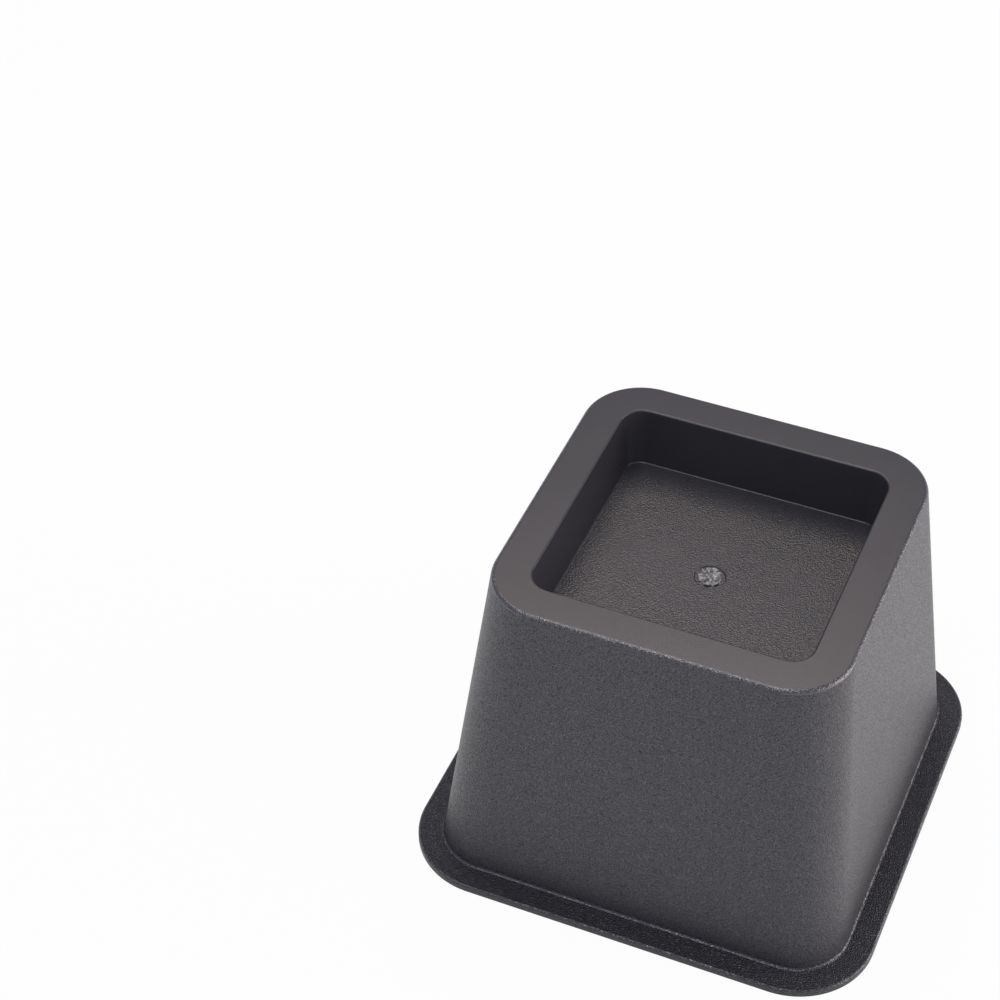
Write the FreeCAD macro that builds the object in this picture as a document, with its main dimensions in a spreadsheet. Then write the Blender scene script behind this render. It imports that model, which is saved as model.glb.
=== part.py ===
import FreeCAD, Part
import math
import os
import Sketcher

# Bed riser, moulded in one piece: a hollow square frustum that stands on a flat flange, with a square
# recess in its top that takes the bed's leg. Millimetres, +Z up, origin at the middle of the base.

SIZES = [
    # overall form
    ("height", "127.0"),
    ("rim_width", "14.1"),
    ("wall_draft", "6.17"),
    ("wall_corner", "21.4"),
    ("flange_overhang", "9.3"),
    ("flange_corner", "29.8"),
    # recess for the bed's leg
    ("mouth_width", "100.6"),
    ("mouth_corner", "8.2"),
    ("recess_depth", "23.4"),
    ("recess_draft", "5.05"),
    # thicknesses of the moulding
    ("wall_thickness", "3.0"),
    ("recess_wall", "3.0"),
    ("floor_thickness", "3.0"),
    ("flange_thickness", "3.0"),
    # ribs under the recess, which also stop one riser on the rim of the next in a stack
    ("stack_pitch", "47.5"),
    ("rib_root", "2.4"),
    ("rib_tip", "1.8"),
    # mark left by the injection gate
    ("gate_well_diameter", "11.6"),
    ("gate_well_depth", "0.8"),
    ("gate_stub_diameter", "8.6"),
    ("gate_stub_height", "0.7"),
    # edge rounds
    ("rim_edge", "1.6"),
    ("mouth_edge", "0.8"),
    ("recess_floor_edge", "0.6"),
    ("flange_root", "2.4"),
    ("flange_edge", "1.0"),
    ("recess_box_edge", "2.0"),
]

# Sizes that follow from the sheet
FALL = "tan(sizes.wall_draft)"
TOP_WIDTH = "(sizes.mouth_width + 2 * sizes.rim_width)"
BASE_WIDTH = f"({TOP_WIDTH} + 2 * sizes.height * {FALL})"
FLANGE_WIDTH = f"({BASE_WIDTH} + 2 * sizes.flange_overhang)"
RIM_UNDERSIDE = "(sizes.height - sizes.wall_thickness)"
RECESS_FLOOR = "(sizes.height - sizes.recess_depth)"
RECESS_IN = "(sizes.recess_depth * tan(sizes.recess_draft))"
BOX_DEPTH = "(sizes.recess_depth + sizes.floor_thickness)"
BOX_WIDTH = "(sizes.mouth_width + 2 * sizes.recess_wall)"
BOX_CORNER = "(sizes.mouth_corner + sizes.recess_wall)"
BOX_IN = f"({BOX_DEPTH} * tan(sizes.recess_draft))"
RIB_TIP_LEVEL = "(sizes.height - sizes.stack_pitch)"
GATE_FLOOR = f"({RECESS_FLOOR} - sizes.gate_well_depth)"


def wall_width(level):
    """Outer width of the frustum at a level."""
    return f"({BASE_WIDTH} - 2 * {level} * {FALL})"


def value(expression):
    """Number that an expression on the sheet comes to."""
    return float(sizes.evalExpression(expression))


doc = FreeCAD.newDocument("bed_riser")
sizes = doc.addObject("Spreadsheet::Sheet", "sizes")
for row, (alias, number) in enumerate(SIZES, start=1):
    sizes.set(f"A{row}", alias)
    sizes.set(f"B{row}", number)
    sizes.setAlias(f"B{row}", alias)
doc.recompute()

riser = doc.addObject("PartDesign::Body", "bed_riser")
riser.Label = "bed_riser"
ground = next(plane for plane in riser.Origin.OriginFeatures if plane.Role == "XY_Plane")
# how a sketch names the points of its lines and arcs, and its own origin
START, END, CENTRE = 1, 2, 3
ORIGIN_POINT = (-1, START)
# a ring of edges has four straight sides and four corners; points this close together count as touching
SIDES = 4
RING_EDGES = 2 * SIDES
TOUCH = 0.01
LEAST_VOLUME = 1e-6


def level_sketch(name, level):
    """Empty sketch parallel to the ground at a level."""
    sketch = riser.newObject("Sketcher::SketchObject", name)
    sketch.AttachmentSupport = [(ground, "")]
    sketch.MapMode = "FlatFace"
    sketch.setExpression("AttachmentOffset.Base.z", level)
    return sketch


def bind(sketch, constraint, name, expression):
    """Add a sizing constraint and tie it to the sheet."""
    index = sketch.addConstraint(constraint)
    sketch.renameConstraint(index, name)
    sketch.setExpression(f"Constraints.{name}", expression)


def draw_rounded_square(sketch, word, width, corner):
    """Square with round corners, centred on the axis; the word names its sizes in the sketch."""
    radius = value(corner)
    half = value(width) / 2
    flat = half - radius
    quarter = math.pi / 2
    first = sketch.GeometryCount
    sides = range(first, first + SIDES)
    turns = range(first + SIDES, first + 2 * SIDES)
    for side in range(SIDES):
        way = FreeCAD.Rotation(FreeCAD.Vector(0, 0, 1), 90 * side)
        ends = [way.multVec(FreeCAD.Vector(along, -half, 0)) for along in (-flat, flat)]
        sketch.addGeometry(Part.LineSegment(*ends))
    for side in range(SIDES):
        way = FreeCAD.Rotation(FreeCAD.Vector(0, 0, 1), 90 * side)
        middle = way.multVec(FreeCAD.Vector(flat, -flat, 0))
        circle = Part.Circle(middle, FreeCAD.Vector(0, 0, 1), radius)
        sketch.addGeometry(Part.ArcOfCircle(circle, (side - 1) * quarter, side * quarter))
    for number in range(SIDES):
        following = sides[(number + 1) % SIDES]
        sketch.addConstraint(Sketcher.Constraint("Tangent", sides[number], END, turns[number], START))
        sketch.addConstraint(Sketcher.Constraint("Tangent", turns[number], END, following, START))
        sketch.addConstraint(Sketcher.Constraint("Vertical" if number % 2 else "Horizontal", sides[number]))
    for turn in turns[1:]:
        sketch.addConstraint(Sketcher.Constraint("Equal", turns[0], turn))
    opposite = (turns[0], CENTRE, turns[2], CENTRE)
    sketch.addConstraint(Sketcher.Constraint("Symmetric", *opposite, *ORIGIN_POINT))
    front, right, back, left = sides
    across = Sketcher.Constraint("DistanceX", left, START, right, START, 2 * half)
    along = Sketcher.Constraint("DistanceY", front, START, back, START, 2 * half)
    bind(sketch, across, f"{word}_across", width)
    bind(sketch, along, f"{word}_along", width)
    bind(sketch, Sketcher.Constraint("Radius", turns[0], radius), f"{word}_corner", corner)


def rounded_square(name, level, width, corner):
    """Sketch of one square with round corners."""
    sketch = level_sketch(name, level)
    draw_rounded_square(sketch, "outline", width, corner)
    return sketch


def rectangle(name, level, across, along):
    """Rectangle centred on the axis."""
    sketch = level_sketch(name, level)
    half_x = value(across) / 2
    half_y = value(along) / 2
    corners = [FreeCAD.Vector(-half_x, -half_y, 0), FreeCAD.Vector(half_x, -half_y, 0),
               FreeCAD.Vector(half_x, half_y, 0), FreeCAD.Vector(-half_x, half_y, 0)]
    front, right, back, left = range(SIDES)
    for side in range(SIDES):
        sketch.addGeometry(Part.LineSegment(corners[side], corners[(side + 1) % SIDES]))
    for side in range(SIDES):
        sketch.addConstraint(Sketcher.Constraint("Coincident", side, END, (side + 1) % SIDES, START))
        sketch.addConstraint(Sketcher.Constraint("Vertical" if side % 2 else "Horizontal", side))
    sketch.addConstraint(Sketcher.Constraint("Symmetric", front, START, back, START, *ORIGIN_POINT))
    bind(sketch, Sketcher.Constraint("DistanceX", front, START, front, END, 2 * half_x), "across", across)
    bind(sketch, Sketcher.Constraint("DistanceY", right, START, right, END, 2 * half_y), "along", along)
    return sketch


def disc(name, level, diameter):
    """Circle centred on the axis."""
    sketch = level_sketch(name, level)
    circle = Part.Circle(FreeCAD.Vector(0, 0, 0), FreeCAD.Vector(0, 0, 1), value(diameter) / 2)
    ring = sketch.addGeometry(circle)
    sketch.addConstraint(Sketcher.Constraint("Coincident", ring, CENTRE, *ORIGIN_POINT))
    bind(sketch, Sketcher.Constraint("Diameter", ring, value(diameter)), "across", diameter)
    return sketch


def feature(kind, name, profile, expressions=None, **settings):
    """Body feature on a profile; a cut has to take material away and anything else has to add it."""
    before = riser.Shape.Volume if riser.Tip else 0.0
    made = riser.newObject(f"PartDesign::{kind}", name)
    made.Profile = profile
    for setting, chosen in settings.items():
        setattr(made, setting, chosen)
    for size, expression in (expressions or {}).items():
        made.setExpression(size, expression)
    doc.recompute()
    gained = riser.Shape.Volume - before
    is_cut = kind in ("Pocket", "SubtractiveLoft")
    if (gained < 0) != is_cut or abs(gained) < LEAST_VOLUME:
        raise RuntimeError(f"{name} changed the volume by {gained:.3f} cubic millimetres")
    return made


def outline_gap(point, width, corner):
    """How far a point stands off a rounded square centred on the axis, seen from above."""
    flat = width / 2 - corner
    return math.hypot(max(abs(point.x) - flat, 0), max(abs(point.y) - flat, 0)) - corner


def on_outline(width, corner):
    """Test that a point lies on a rounded square."""
    outline = (value(width), value(corner))
    return lambda point: abs(outline_gap(point, *outline)) < TOUCH


def round_level_edges(name, radius, level, belongs):
    """Round the ring of edges at a level whose points all pass a test."""
    base = riser.Tip
    height = value(level)
    chosen = []
    for number, edge in enumerate(base.Shape.Edges, start=1):
        first, last = edge.ParameterRange
        points = [edge.valueAt(parameter) for parameter in (first, (first + last) / 2, last)]
        if all(abs(point.z - height) < TOUCH and belongs(point) for point in points):
            chosen.append(f"Edge{number}")
    if len(chosen) != RING_EDGES:
        raise RuntimeError(f"{name} found {len(chosen)} edges to round")
    dress_up("Fillet", name, chosen, {"Radius": radius})


def dress_up(kind, name, chosen, expressions, **settings):
    """Feature that works on chosen edges or faces of the body so far."""
    made = riser.newObject(f"PartDesign::{kind}", name)
    made.Base = (made.BaseFeature, chosen)
    for setting, picked in settings.items():
        setattr(made, setting, picked)
    for size, expression in expressions.items():
        made.setExpression(size, expression)
    doc.recompute()


# Frustum: a square block with drafted walls, its slanting edges rounded
feature("Pad", "block", rectangle("base_outline", "0", BASE_WIDTH, BASE_WIDTH), {"Length": "sizes.height"})
walls = [f"Face{number}" for number, face in enumerate(riser.Shape.Faces, start=1)
         if face.BoundBox.ZLength > TOUCH]
dress_up("Draft", "walls", walls, {"Angle": "sizes.wall_draft"}, NeutralPlane=(ground, [""]))
slanting = [f"Edge{number}" for number, edge in enumerate(riser.Shape.Edges, start=1)
            if edge.BoundBox.ZLength > TOUCH]
dress_up("Fillet", "wall_corners", slanting, {"Radius": "sizes.wall_corner"})

# Hollow it from below, walls and rim of even thickness
underside = [f"Face{number}" for number, face in enumerate(riser.Shape.Faces, start=1)
             if face.BoundBox.ZMax < TOUCH]
dress_up("Thickness", "shell", underside, {"Value": "sizes.wall_thickness"}, Reversed=True)

# Flange: a flat ring around the foot, rooted in the middle of the wall
flange_outline = rounded_square("flange_outline", "0", FLANGE_WIDTH, "sizes.flange_corner")
draw_rounded_square(flange_outline, "root", f"{BASE_WIDTH} - sizes.wall_thickness",
                    "sizes.wall_corner - sizes.wall_thickness / 2")
feature("Pad", "flange", flange_outline, {"Length": "sizes.flange_thickness"})

# Box that hangs from the rim around the recess
feature("Pad", "recess_box", rounded_square("recess_box_outline", "sizes.height", BOX_WIDTH, BOX_CORNER),
        {"Length": BOX_DEPTH, "TaperAngle": "-sizes.recess_draft"}, Reversed=True)
round_level_edges("recess_box_round", "sizes.recess_box_edge", f"sizes.height - {BOX_DEPTH}",
                  on_outline(f"{BOX_WIDTH} - 2 * {BOX_IN}", f"{BOX_CORNER} - {BOX_IN}"))

# Two ribs that cross under the recess and run into the middle of the walls, thinner at their lower edge
RIB_TIP_LENGTH = f"({wall_width(RIB_TIP_LEVEL)} - sizes.wall_thickness)"
RIB_ROOT_LENGTH = f"({wall_width(RIM_UNDERSIDE)} - sizes.wall_thickness)"
RIB_RUNS = {
    "rib_across": ((RIB_TIP_LENGTH, "sizes.rib_tip"), (RIB_ROOT_LENGTH, "sizes.rib_root")),
    "rib_along": (("sizes.rib_tip", RIB_TIP_LENGTH), ("sizes.rib_root", RIB_ROOT_LENGTH)),
}
for rib, (tip, root) in RIB_RUNS.items():
    feature("AdditiveLoft", rib, rectangle(f"{rib}_tip", RIB_TIP_LEVEL, *tip),
            Sections=[rectangle(f"{rib}_root", RIM_UNDERSIDE, *root)], Ruled=True)

# Recess for the bed's leg
feature("Pocket", "recess",
        rounded_square("recess_mouth", "sizes.height", "sizes.mouth_width", "sizes.mouth_corner"),
        {"Length": "sizes.recess_depth", "TaperAngle": "-sizes.recess_draft"})

# Gate mark: a shallow well in the recess floor, with the stub of the sprue inside it
feature("Pocket", "gate_well", disc("gate_well_outline", RECESS_FLOOR, "sizes.gate_well_diameter"),
        {"Length": "sizes.gate_well_depth"})
feature("Pad", "gate_stub", disc("gate_stub_outline", GATE_FLOOR, "sizes.gate_stub_diameter"),
        {"Length": "sizes.gate_stub_height"})

# Edge rounds of the recess, the rim and the flange
round_level_edges("recess_floor_round", "sizes.recess_floor_edge", RECESS_FLOOR,
                  on_outline(f"sizes.mouth_width - 2 * {RECESS_IN}", f"sizes.mouth_corner - {RECESS_IN}"))
mouth = (value("sizes.mouth_width"), value("sizes.mouth_corner"))
half_rim = value("sizes.rim_width") / 2
round_level_edges("mouth_round", "sizes.mouth_edge", "sizes.height",
                  on_outline("sizes.mouth_width", "sizes.mouth_corner"))
round_level_edges("rim_round", "sizes.rim_edge", "sizes.height",
                  lambda point: outline_gap(point, *mouth) > half_rim)
flange_edge = (value(FLANGE_WIDTH), value("sizes.flange_corner"))
half_flange = value("sizes.flange_overhang") / 2
round_level_edges("flange_root_fillet", "sizes.flange_root", "sizes.flange_thickness",
                  lambda point: outline_gap(point, *flange_edge) < -half_flange)
round_level_edges("flange_round", "sizes.flange_edge", "sizes.flange_thickness",
                  on_outline(FLANGE_WIDTH, "sizes.flange_corner"))

# Nothing is written unless every object came out whole
doc.recompute()
for item in doc.Objects:
    if "Invalid" in item.State or "Error" in item.State:
        raise RuntimeError(f"{item.Name} failed: {item.State}")
moulding = riser.Shape
if moulding.isNull() or not moulding.isValid() or len(moulding.Solids) != 1:
    raise RuntimeError("the riser is not one valid solid")
os.makedirs("parts", exist_ok=True)
moulding.exportStep(f"parts/{riser.Label}.step")
print(f"{riser.Label}: {moulding.Volume / 1000:.1f} cubic centimetres, box {moulding.optimalBoundingBox()}")
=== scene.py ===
import math

import bmesh
import bpy
from mathutils import Euler, Matrix, Vector


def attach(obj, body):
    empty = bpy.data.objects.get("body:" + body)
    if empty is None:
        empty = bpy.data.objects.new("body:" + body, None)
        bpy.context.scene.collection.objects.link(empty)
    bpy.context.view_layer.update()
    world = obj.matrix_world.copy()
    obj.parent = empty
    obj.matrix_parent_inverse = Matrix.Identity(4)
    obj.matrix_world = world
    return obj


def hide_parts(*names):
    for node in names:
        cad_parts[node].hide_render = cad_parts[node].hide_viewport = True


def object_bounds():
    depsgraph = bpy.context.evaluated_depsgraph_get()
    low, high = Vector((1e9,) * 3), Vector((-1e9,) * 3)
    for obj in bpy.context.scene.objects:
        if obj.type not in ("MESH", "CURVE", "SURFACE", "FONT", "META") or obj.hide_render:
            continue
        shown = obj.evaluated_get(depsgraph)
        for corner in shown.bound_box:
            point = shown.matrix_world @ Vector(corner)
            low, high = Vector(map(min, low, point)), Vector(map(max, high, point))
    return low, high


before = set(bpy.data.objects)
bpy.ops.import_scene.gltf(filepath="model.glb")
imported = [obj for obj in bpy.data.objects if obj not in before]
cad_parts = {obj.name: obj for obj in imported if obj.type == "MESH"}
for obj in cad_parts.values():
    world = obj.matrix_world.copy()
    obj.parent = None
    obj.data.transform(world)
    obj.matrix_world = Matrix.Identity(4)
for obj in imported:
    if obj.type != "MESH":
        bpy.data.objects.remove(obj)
cad_low, cad_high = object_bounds()

# Flange and skirt: the foot of the moulding is a flat plate with round corners, and the skirt rises from
# it and leans in to the top. Both are one wall of polypropylene, injected into a two-part mould.
MM = 0.001
HEIGHT = cad_high.z
FLANGE_HALF = cad_high.x
FLANGE_CORNER = 29.8 * MM
FLANGE_THICKNESS = 3.0 * MM
FLANGE_OVERHANG = 9.3 * MM
WALL_THICKNESS = 3.0 * MM
TOP_HALF = 64.4 * MM
TOP_CORNER = 22.4 * MM
CORNER_STEPS = 28
NEAR = 0.02 * MM
WELD = NEAR / 10

FOOT_HALF = FLANGE_HALF - FLANGE_OVERHANG
LEAN = (FOOT_HALF - TOP_HALF) / HEIGHT
WALL_ACROSS = WALL_THICKNESS * math.hypot(1, LEAN)


def wall_half(level):
    """Half the outer width of the skirt at a level."""
    return FOOT_HALF - LEAN * level


def pick(kind, wanted):
    """Select the corners, edges or faces of the piece in hand that pass a test, and nothing else."""
    bpy.ops.mesh.select_mode(type=kind)
    bpy.ops.mesh.select_all(action="DESELECT")
    mesh = bmesh.from_edit_mesh(bpy.context.object.data)
    for item in {"VERT": mesh.verts, "EDGE": mesh.edges, "FACE": mesh.faces}[kind]:
        if wanted(item):
            item.select_set(True)
    bmesh.update_edit_mesh(bpy.context.object.data)


def off_outline(point, half, corner):
    """How far a point stands off a square with round corners, seen from above."""
    flat = half - corner
    return math.hypot(max(abs(point.x) - flat, 0), max(abs(point.y) - flat, 0)) - corner


def on_ring(half, corner, level):
    """Test that an edge or face lies on the ring of a rounded square at a level."""
    def wanted(item):
        return all(
            abs(vert.co.z - level) < NEAR and abs(off_outline(vert.co, half, corner)) < NEAR
            for vert in item.verts
        )
    return wanted


def rounded_plate(half, corner, level):
    """Add a flat plate with round corners to the piece in hand, and leave it selected."""
    bpy.ops.mesh.primitive_plane_add(size=2 * half, location=(0, 0, level))
    bpy.ops.mesh.bevel(
        offset=corner, offset_type="OFFSET", segments=CORNER_STEPS, affect="VERTICES"
    )


def drop_face(half, corner, level):
    """Open the face inside a ring, so that a wall can be bridged to its edge."""
    pick("FACE", on_ring(half, corner, level))
    bpy.ops.mesh.delete(type="ONLY_FACE")


def bridge(*rings):
    """Join two open rings with a wall."""
    tests = [on_ring(*ring) for ring in rings]
    pick("EDGE", lambda edge: any(test(edge) for test in tests))
    bpy.ops.mesh.bridge_edge_loops()


bpy.ops.object.select_all(action="DESELECT")
bpy.ops.mesh.primitive_cube_add(size=2 * FLANGE_HALF, location=(0, 0, FLANGE_HALF))
moulding = bpy.context.object
moulding.name = "bed_riser_moulding"
bpy.ops.object.transform_apply(location=True)
bpy.ops.object.mode_set(mode="EDIT")
bpy.ops.transform.resize(
    value=(1, 1, FLANGE_THICKNESS / (2 * FLANGE_HALF)), center_override=(0, 0, 0)
)
pick("EDGE", lambda edge: abs(edge.verts[0].co.z - edge.verts[1].co.z) > NEAR)
bpy.ops.mesh.bevel(
    offset=FLANGE_CORNER, offset_type="OFFSET", segments=CORNER_STEPS, affect="EDGES"
)

# the skirt springs from an even ledge on top of the plate, and the hollow opens in its underside
LEDGE = FLANGE_HALF - wall_half(FLANGE_THICKNESS)
SOLE = FLANGE_OVERHANG + WALL_ACROSS
flange_top = (FLANGE_HALF, FLANGE_CORNER, FLANGE_THICKNESS)
flange_sole = (FLANGE_HALF, FLANGE_CORNER, 0)
skirt_foot = (FLANGE_HALF - LEDGE, FLANGE_CORNER - LEDGE, FLANGE_THICKNESS)
hollow_foot = (FLANGE_HALF - SOLE, FLANGE_CORNER - SOLE, 0)
for outline, width, opening in ((flange_top, LEDGE, skirt_foot), (flange_sole, SOLE, hollow_foot)):
    pick("FACE", on_ring(*outline))
    bpy.ops.mesh.inset(thickness=width)
    drop_face(*opening)

# Rim and recess: the top of the moulding is a flat rim around a square recess with leaning walls, which
# takes the foot of the bed's leg. The recess is the same sheet of plastic turned down into the hollow.
RIM_WIDTH = 14.1 * MM
RECESS_DEPTH = 23.4 * MM
RECESS_DRAFT = math.radians(5.05)

RECESS_IN = RECESS_DEPTH * math.tan(RECESS_DRAFT)
RECESS_FLOOR = HEIGHT - RECESS_DEPTH
rim_edge = (TOP_HALF, TOP_CORNER, HEIGHT)
mouth_edge = (TOP_HALF - RIM_WIDTH, TOP_CORNER - RIM_WIDTH, HEIGHT)
recess_floor_edge = (mouth_edge[0] - RECESS_IN, mouth_edge[1] - RECESS_IN, RECESS_FLOOR)
rounded_plate(*rim_edge)
bpy.ops.mesh.inset(thickness=RIM_WIDTH)
bpy.ops.mesh.inset(thickness=RECESS_IN, depth=-RECESS_DEPTH)
bridge(skirt_foot, rim_edge)

# Hollow underside: the core of the mould leaves the skirt and rim as an even wall of plastic, with the
# box of the recess hanging in the middle of the hollow.
RECESS_WALL = 3.0 * MM
FLOOR_THICKNESS = 3.0 * MM

CEILING = HEIGHT - WALL_THICKNESS
ceiling_edge = (wall_half(CEILING) - WALL_ACROSS, TOP_CORNER - WALL_THICKNESS, CEILING)
box_top_half = mouth_edge[0] + RECESS_WALL - WALL_THICKNESS * math.tan(RECESS_DRAFT)
GUTTER = ceiling_edge[0] - box_top_half
BOX_DROP = RECESS_DEPTH + FLOOR_THICKNESS - WALL_THICKNESS
BOX_IN = BOX_DROP * math.tan(RECESS_DRAFT)
gutter_edge = (box_top_half, ceiling_edge[1] - GUTTER, CEILING)
box_floor_edge = (gutter_edge[0] - BOX_IN, gutter_edge[1] - BOX_IN, CEILING - BOX_DROP)
rounded_plate(*ceiling_edge)
bpy.ops.mesh.inset(thickness=GUTTER)
bpy.ops.mesh.inset(thickness=BOX_IN, depth=-BOX_DROP)
bridge(hollow_foot, ceiling_edge)
bpy.ops.mesh.select_all(action="SELECT")
bpy.ops.mesh.remove_doubles(threshold=WELD)
bpy.ops.mesh.normals_make_consistent(inside=False)

# Rounded edges: the plastic doesn't fill a sharp edge, so the mould has none, and each ring of edges of
# the moulding comes out with its own small round.
RIGHT_ANGLE = math.pi / 2
SKIRT_TURN = RIGHT_ANGLE - math.atan(LEAN)
RECESS_TURN = RIGHT_ANGLE - RECESS_DRAFT
EDGE_ROUNDS = [
    # ring, radius, turn of the surface at the edge, steps
    (rim_edge, 1.6 * MM, SKIRT_TURN, 6),
    (mouth_edge, 0.8 * MM, RECESS_TURN, 5),
    (recess_floor_edge, 0.6 * MM, RECESS_TURN, 4),
    (skirt_foot, 1.2 * MM, SKIRT_TURN, 5),
    (flange_top, 1.0 * MM, RIGHT_ANGLE, 5),
    (flange_sole, 0.3 * MM, RIGHT_ANGLE, 3),
    (hollow_foot, 0.3 * MM, SKIRT_TURN, 3),
    (ceiling_edge, 1.0 * MM, SKIRT_TURN, 4),
    (gutter_edge, 1.0 * MM, RECESS_TURN, 4),
    (box_floor_edge, 2.0 * MM, RECESS_TURN, 5),
]
for ring, radius, turn, steps in EDGE_ROUNDS:
    pick("EDGE", on_ring(*ring))
    bpy.ops.mesh.bevel(
        offset=radius * math.tan(turn / 2), offset_type="OFFSET", segments=steps,
        affect="EDGES", loop_slide=True,
    )
bpy.ops.object.mode_set(mode="OBJECT")

# Ribs: two thin ribs of the same plastic cross under the recess and run into the skirt, moulded with it.
# They carry the load of the leg from the floor of the recess out to the walls.
RIB_DROP = 47.5 * MM
RIB_ROOT = 2.4 * MM
RIB_TIP = 1.8 * MM
RIB_ROUND = 0.3 * MM
RIB_ROUND_STEPS = 2
FACES_UP = 0.9

rib_level = HEIGHT - RIB_DROP
web_level = RECESS_FLOOR - FLOOR_THICKNESS / 2
arm_level = HEIGHT - WALL_THICKNESS / 2
arm_start = mouth_edge[0] + RECESS_WALL / 8


def wall_middle(level):
    """Half the width of the skirt at a level, to the middle of its wall."""
    return wall_half(level) - WALL_ACROSS / 2


def squeeze(wanted, x=1, y=1):
    """Draw chosen corners in towards the axis."""
    pick("VERT", wanted)
    bpy.ops.transform.resize(value=(x, y, 1), center_override=(0, 0, 0))


def merge(piece, operation):
    """Join a solid to the moulding, or cut it out of it."""
    step = moulding.modifiers.new(piece.name, "BOOLEAN")
    step.operation = operation
    step.object = piece
    step.solver = "EXACT"
    bpy.ops.object.select_all(action="DESELECT")
    bpy.context.view_layer.objects.active = moulding
    bpy.ops.object.modifier_apply(modifier=step.name)
    bpy.data.objects.remove(piece)
    bpy.ops.object.mode_set(mode="EDIT")
    bpy.ops.mesh.select_all(action="SELECT")
    bpy.ops.mesh.remove_doubles(threshold=WELD)
    bpy.ops.mesh.dissolve_degenerate(threshold=WELD)
    bpy.ops.object.mode_set(mode="OBJECT")


for turn in (0, RIGHT_ANGLE):
    bpy.ops.object.select_all(action="DESELECT")
    bpy.ops.mesh.primitive_cube_add(size=1)
    rib = bpy.context.object
    rib.name = "rib"
    bpy.ops.object.mode_set(mode="EDIT")
    bpy.ops.transform.resize(value=(2 * wall_middle(rib_level), RIB_ROOT, web_level - rib_level))
    bpy.ops.transform.translate(value=(0, 0, (web_level + rib_level) / 2))
    squeeze(lambda vert: vert.co.z < rib_level + NEAR, y=RIB_TIP / RIB_ROOT)
    squeeze(
        lambda vert: vert.co.z > web_level - NEAR,
        x=wall_middle(web_level) / wall_middle(rib_level),
    )
    # beside the box of the recess, the rib rises on as an arm up to the rim
    for side in (-1, 1):
        bpy.ops.mesh.select_all(action="SELECT")
        bpy.ops.mesh.bisect(plane_co=(side * arm_start, 0, 0), plane_no=(1, 0, 0))
    pick("FACE", lambda face: face.normal.z > FACES_UP
         and abs(face.calc_center_median().x) > arm_start)
    bpy.ops.mesh.extrude_region_move(TRANSFORM_OT_translate={"value": (0, 0, arm_level - web_level)})
    squeeze(
        lambda vert: vert.co.z > arm_level - NEAR and abs(vert.co.x) > arm_start + NEAR,
        x=wall_middle(arm_level) / wall_middle(web_level),
    )
    pick("EDGE", lambda edge: all(vert.co.z < rib_level + NEAR for vert in edge.verts)
         and abs(edge.verts[0].co.x - edge.verts[1].co.x) > NEAR)
    bpy.ops.mesh.bevel(
        offset=RIB_ROUND, offset_type="OFFSET", segments=RIB_ROUND_STEPS, affect="EDGES"
    )
    bpy.ops.mesh.select_all(action="SELECT")
    bpy.ops.transform.rotate(value=turn, orient_axis="Z", center_override=(0, 0, 0))
    bpy.ops.object.mode_set(mode="OBJECT")
    merge(rib, "UNION")

# Gate mark: the plastic was shot in through the middle of the recess floor. The sprue was torn off there
# and left a rough, whitened stub with a slit across it, inside a shallow round well.
WELL_RADIUS = 5.8 * MM
WELL_SLOPE = 0.4 * MM
WELL_DEPTH = 0.4 * MM
WELL_STEPS = 48
STUB_RADIUS = 4.3 * MM
STUB_HEIGHT = 0.5 * MM
STUB_STEPS = 13
STUB_CUTS = 2
STUB_RAGGED = 0.6 * MM
STUB_EVENNESS = 0.3
STUB_SEED = 6
SLIT_HALF = 1.5 * MM
SLIT_WIDTH = 0.55 * MM
SLIT_DEPTH = 0.7 * MM
SLIT_TURN = math.radians(-38)

bpy.ops.object.select_all(action="DESELECT")
bpy.ops.mesh.primitive_cone_add(
    vertices=WELL_STEPS, radius1=WELL_RADIUS - WELL_SLOPE, radius2=WELL_RADIUS + WELL_SLOPE,
    depth=2 * WELL_DEPTH, location=(0, 0, RECESS_FLOOR),
)
well = bpy.context.object
well.name = "gate_well"
bpy.ops.object.transform_apply(location=True)
merge(well, "DIFFERENCE")

stub_foot = RECESS_FLOOR - WELL_DEPTH - STUB_HEIGHT
bpy.ops.object.select_all(action="DESELECT")
bpy.ops.mesh.primitive_circle_add(
    vertices=STUB_STEPS, radius=STUB_RADIUS, fill_type="TRIFAN", location=(0, 0, stub_foot)
)
stub = bpy.context.object
stub.name = "gate_stub"
bpy.ops.object.transform_apply(location=True)
bpy.ops.object.mode_set(mode="EDIT")
bpy.ops.mesh.subdivide(number_cuts=STUB_CUTS)
bpy.ops.mesh.extrude_region_move(TRANSFORM_OT_translate={"value": (0, 0, 2 * STUB_HEIGHT)})
bpy.ops.transform.vertex_random(
    offset=STUB_RAGGED, uniform=STUB_EVENNESS, normal=1, seed=STUB_SEED
)
slit = Vector((math.cos(SLIT_TURN), math.sin(SLIT_TURN)))
pick("VERT", lambda vert: vert.co.z > stub_foot + STUB_HEIGHT
     and abs(vert.co.xy.dot(slit)) < SLIT_HALF and abs(vert.co.xy.cross(slit)) < SLIT_WIDTH)
bpy.ops.transform.translate(value=(0, 0, -SLIT_DEPTH))
bpy.ops.mesh.select_all(action="SELECT")
bpy.ops.mesh.normals_make_consistent(inside=False)
bpy.ops.object.mode_set(mode="OBJECT")
merge(stub, "UNION")

# the ragged faces in the well are cut into triangles here, so that they stay closed
bpy.ops.object.mode_set(mode="EDIT")
pick("FACE", lambda face: all(
    vert.co.xy.length < WELL_RADIUS and vert.co.z > web_level for vert in face.verts
))
bpy.ops.mesh.quads_convert_to_tris(ngon_method="BEAUTY")
bpy.ops.object.mode_set(mode="OBJECT")

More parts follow.
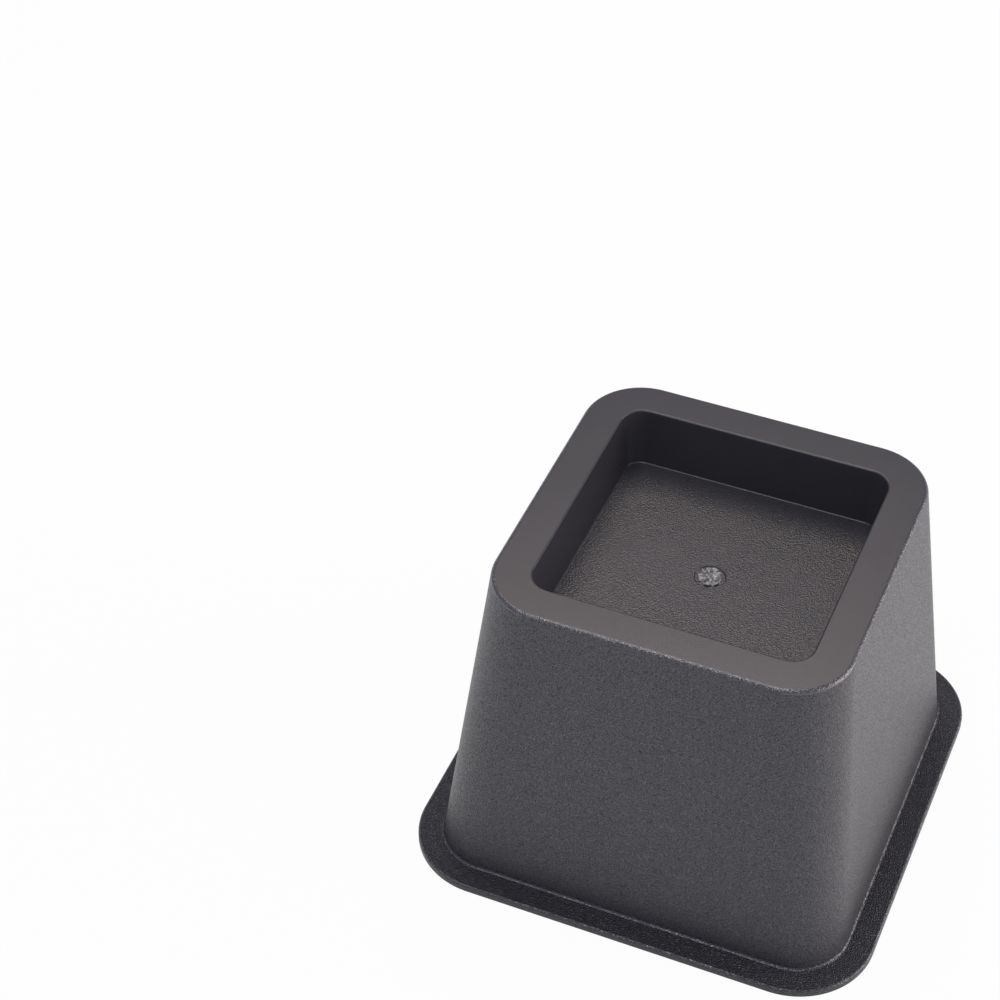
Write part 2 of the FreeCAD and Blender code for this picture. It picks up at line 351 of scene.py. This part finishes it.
# Finish: one charcoal plastic all over, and the mould gives each part its own skin. The skirt, the flange
# and the recess floor have a fine pebble grain, the rim is satin, the walls of the recess and the hollow
# are smooth, and the rounds are rubbed bright by handling. The flange and its rounds are coloured darker
# than the rest as painted shade, for the shadow that the body casts on them. The torn gate shows the plastic
# whitened.
CHARCOAL = (0.040, 0.0385, 0.044)
# painted shade: the flange's colour is darkened to stand in for the shadow falling on it
FLANGE_PAINTED_SHADE = (0.024, 0.0235, 0.027)
WHITENED = (0.22, 0.217, 0.22)
NOISE_MIDDLE = 0.5
CLOUD_SCALE = 45
CLOUD_DETAIL = 3
CLOUD_ROUGHNESS = 0.6
CLOUD_TONE = 0.2
CLOUD_GLOSS = 0.08
GRAIN_PITCH = 1.8
CROWN_RISE = 2.4
# crown tone: paler rubbed crowns, and painted shade darkening the valleys of the grain
CROWN_WEAR_AND_VALLEY_SHADE = 0.7
CROWN_GLOSS = 0.12
DARKEST_TONE = 0.1
COAT_MIDDLE = 0.6
COAT_SWING = 1.3
COAT_ROUGHNESS = 0.5
SKIN_DEPTH = 1.2 * MM
LEVEL_SLACK = 5 * NEAR
FACES_DOWN = -0.5
ROUND_STEEPEST = 0.25
ROUND_FLATTEST = 0.985
RIM_FLATNESS = 0.98
SMOOTH_ANGLE = math.radians(35)


class Shade:
    """An output of a node in a material; sums on it add Math nodes, and node() adds any other node."""

    def __init__(self, tree, socket=None):
        self.tree = tree
        self.socket = socket

    def node(self, kind, settings, sockets, output=0):
        """Add a node: its settings first, then the values or links of its sockets."""
        made = self.tree.nodes.new(kind)
        for name, value in settings.items():
            setattr(made, name, value)
        for name, value in sockets.items():
            if isinstance(value, Shade):
                self.tree.links.new(value.socket, made.inputs[name])
            else:
                made.inputs[name].default_value = value
        return Shade(self.tree, made.outputs[output]) if made.outputs else None

    def maths(self, operation, *terms):
        return self.node("ShaderNodeMath", {"operation": operation}, dict(enumerate(terms)))

    def __add__(self, other):
        return self.maths("ADD", self, other)

    def __sub__(self, other):
        return self.maths("SUBTRACT", self, other)

    def __rsub__(self, other):
        return self.maths("SUBTRACT", other, self)

    def __mul__(self, other):
        return self.maths("MULTIPLY", self, other)

    __radd__ = __add__
    __rmul__ = __mul__


def plastic(name, roughness, pebble=None, colour=CHARCOAL, ior=1.5):
    """Make a skin of the plastic; pebble is its grain's size and height, and how far crowns are burnished,
    which pales the crowns as wear and darkens the valleys as painted shade.
    """
    material = bpy.data.materials.new(name)
    material.use_nodes = True
    tree = material.node_tree
    tree.nodes.clear()
    ink = Shade(tree)
    place = ink.node("ShaderNodeTexCoord", {}, {}, "Object")
    cloud = ink.node("ShaderNodeTexNoise", {}, {
        "Vector": place, "Scale": CLOUD_SCALE, "Detail": CLOUD_DETAIL, "Roughness": CLOUD_ROUGHNESS,
    })
    tone = (1 - CLOUD_TONE / 2) + CLOUD_TONE * cloud
    sockets = {"Roughness": roughness + CLOUD_GLOSS * (cloud - NOISE_MIDDLE), "IOR": ior}
    if pebble:
        size, height, burnish = pebble
        grain = ink.node("ShaderNodeTexNoise", {}, {
            "Vector": place, "Scale": GRAIN_PITCH / size, "Detail": 0,
        })
        crown = CROWN_RISE * burnish * (grain - NOISE_MIDDLE)
        # crowns go paler as rubbed wear, and valleys go darker as painted shade in the hollows of the grain
        tone = tone.maths("MAXIMUM", tone * (1 + CROWN_WEAR_AND_VALLEY_SHADE * crown), DARKEST_TONE)
        if burnish:
            sockets["Roughness"] = roughness - CROWN_GLOSS * crown
            sockets["Coat Weight"] = COAT_MIDDLE + COAT_SWING * crown
            sockets["Coat Roughness"] = COAT_ROUGHNESS
        sockets["Normal"] = ink.node("ShaderNodeBump", {}, {
            "Strength": 1, "Distance": height, "Height": grain,
        })
    sockets["Base Color"] = ink.node("ShaderNodeVectorMath", {"operation": "SCALE"}, {
        0: colour, "Scale": tone,
    })
    skin = ink.node("ShaderNodeBsdfPrincipled", {}, sockets)
    ink.node("ShaderNodeOutputMaterial", {}, {"Surface": skin})
    return material


def is_skirt(face):
    """Outside of the skirt, the flange and their rounds."""
    middle = face.calc_center_median()
    off_wall = off_outline(middle, wall_half(middle.z), TOP_CORNER)
    return off_wall > -SKIN_DEPTH and face.normal.z > FACES_DOWN


def is_flange(face):
    return is_skirt(face) and face.calc_center_median().z < FLANGE_THICKNESS + LEVEL_SLACK


def is_round(face):
    """Rounds along the outside, at the rim and at the flange."""
    return is_skirt(face) and ROUND_STEEPEST < face.normal.z < ROUND_FLATTEST


def is_flange_round(face):
    return is_round(face) and face.calc_center_median().z < HEIGHT / 2


def is_rim_round(face):
    return is_round(face) and face.calc_center_median().z > HEIGHT / 2


def is_rim(face):
    return face.normal.z > RIM_FLATNESS and face.calc_center_median().z > HEIGHT - LEVEL_SLACK


def is_recess_floor(face):
    off_floor = face.calc_center_median().z - RECESS_FLOOR
    return abs(off_floor) < WELL_DEPTH + NEAR and face.normal.z > FACES_UP


def is_gate(face):
    """Torn top of the stub, without the floor of its well."""
    reach = WELL_RADIUS - WELL_SLOPE - NEAR
    return all(vert.co.z > web_level and vert.co.xy.length < reach for vert in face.verts)


FINISHES = [
    # skin: name, roughness, grain, colour and index of refraction; then the test of the faces that have it
    (plastic("smooth_charcoal", 0.30), None),
    (plastic("pebbled_charcoal", 0.45, (0.85 * MM, 0.35 * MM, 0.7), ior=1.45), is_skirt),
    # the two flange skins below take the darker painted-shade colour
    (plastic("flange_painted_shade_charcoal", 0.22, (0.9 * MM, 0.6 * MM, 0.0), FLANGE_PAINTED_SHADE), is_flange),
    (plastic("flange_round_painted_shade_charcoal", 0.18, (0.9 * MM, 0.25 * MM, 0.0), FLANGE_PAINTED_SHADE, 1.8), is_flange_round),
    (plastic("rubbed_charcoal", 0.22, (0.8 * MM, 0.20 * MM, 0.0), ior=2.0), is_rim_round),
    (plastic("satin_charcoal", 0.30, (0.8 * MM, 0.02 * MM, 0.0)), is_rim),
    (plastic("pebbled_floor_charcoal", 0.28, (0.95 * MM, 0.17 * MM, 0.0)), is_recess_floor),
    (plastic("torn_charcoal", 0.25, (1.5 * MM, 0.1 * MM, 1.4), WHITENED), is_gate),
]
bpy.ops.object.select_all(action="DESELECT")
moulding.select_set(True)
bpy.context.view_layer.objects.active = moulding
moulding.data.materials.clear()
for finish, _ in FINISHES:
    moulding.data.materials.append(finish)
bpy.ops.object.mode_set(mode="EDIT")
for number, (_, wanted) in enumerate(FINISHES):
    if wanted:
        pick("FACE", wanted)
        moulding.active_material_index = number
        bpy.ops.object.material_slot_assign()
bpy.ops.object.mode_set(mode="OBJECT")
bpy.ops.object.shade_smooth_by_angle(angle=SMOOTH_ANGLE)
even = moulding.modifiers.new("even_shading", "WEIGHTED_NORMAL")
even.keep_sharp = True
bpy.ops.object.modifier_apply(modifier=even.name)
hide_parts("bed_riser")
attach(moulding, "root")

# Studio: a white floor in a dim, cool room, with three softboxes: a warm one high behind on the left,
# a cool one overhead towards the front, and a wide warm one low on the right.
FLOOR_SIZE = 12.0
FLOOR_WHITE = (0.9, 0.9, 0.9, 1)
FLOOR_SEEN = 0.95
FLOOR_MIRRORED = 0.6
ROOM = (0.34, 0.35, 0.43, 1)
bpy.ops.object.select_all(action="DESELECT")
bpy.ops.mesh.primitive_plane_add(size=FLOOR_SIZE)
floor = bpy.context.object
floor.name = "studio_floor"
paper = bpy.data.materials.new("studio_paper")
paper.use_nodes = True
paper.node_tree.nodes.clear()
ink = Shade(paper.node_tree)
camera_ray, glossy_ray, clear_ray = (
    ink.node("ShaderNodeLightPath", {}, {}, f"Is {kind} Ray")
    for kind in ("Camera", "Glossy", "Transmission")
)
white = FLOOR_SEEN * camera_ray + FLOOR_MIRRORED * (glossy_ray + clear_ray)
matt = ink.node("ShaderNodeBsdfDiffuse", {}, {"Color": FLOOR_WHITE})
glow = ink.node("ShaderNodeEmission", {}, {"Color": (1, 1, 1, 1), "Strength": 1})
blank = ink.node("ShaderNodeMixShader", {}, {0: white, 1: matt, 2: glow})
ink.node("ShaderNodeOutputMaterial", {}, {"Surface": blank})
floor.data.materials.append(paper)

world = bpy.data.worlds.new("studio_room")
bpy.context.scene.world = world
world.use_nodes = True
world.node_tree.nodes.clear()
ink = Shade(world.node_tree)
air = ink.node("ShaderNodeBackground", {}, {"Color": ROOM, "Strength": 1})
ink.node("ShaderNodeOutputWorld", {}, {"Surface": air})

LAMPS = [
    # name, bearing from the back to the right and height in degrees, distance, width and depth,
    # brightness, tint
    ("key_softbox", -26, 64, 1.4, (0.75, 0.65), 4.1, (1.0, 0.88, 0.79)),
    ("top_softbox", -160, 70, 1.4, (0.4, 0.8), 4.5, (0.95, 0.95, 1.0)),
    ("side_softbox", 76, 17, 1.7, (1.7, 0.95), 3.7, (1.0, 0.91, 0.89)),
]
for name, bearing, height, distance, (width, depth), brightness, tint in LAMPS:
    way = Vector((0, 1, 0))
    way.rotate(Euler((math.radians(height), 0, math.radians(-bearing))))
    facing = (-way).to_track_quat("-Z", "Y").to_euler()
    bpy.ops.object.light_add(type="AREA", location=distance * way, rotation=facing)
    lamp = bpy.context.object
    lamp.name = name
    lamp.data.shape = "RECTANGLE"
    lamp.data.size = width
    lamp.data.size_y = depth
    lamp.data.energy = brightness * math.pi * width * depth
    lamp.data.color = tint

# Camera: it looks down on the riser from the front, a little from its right, and is turned aside so that
# the middle of the foot falls on its own place in the frame.
AZIMUTH = math.radians(16.45)
ELEVATION = math.radians(48.59)
ROLL = math.radians(-4.19)
DISTANCE = 971.2 * MM
FRAME_PIXELS = 1000
FOCAL_PIXELS = 2518.7
BASE_PIXEL = (695.94, 770.82)
back = Vector((
    math.sin(AZIMUTH) * math.cos(ELEVATION),
    -math.cos(AZIMUTH) * math.cos(ELEVATION),
    math.sin(ELEVATION),
))
aside = math.atan((BASE_PIXEL[0] - FRAME_PIXELS / 2) / FOCAL_PIXELS)
below = math.atan((BASE_PIXEL[1] - FRAME_PIXELS / 2) / FOCAL_PIXELS * math.cos(aside))
turned = (-back).to_track_quat("-Z", "Y").to_matrix() @ Matrix.Rotation(-ROLL, 3, "Z")
turned = turned @ Matrix.Rotation(below, 3, "X") @ Matrix.Rotation(aside, 3, "Y")
bpy.ops.object.camera_add(location=DISTANCE * back, rotation=turned.to_euler())
camera = bpy.context.object
camera.data.lens = camera.data.sensor_width * FOCAL_PIXELS / FRAME_PIXELS
bpy.context.scene.camera = camera
bpy.context.scene.view_settings.view_transform = "Standard"
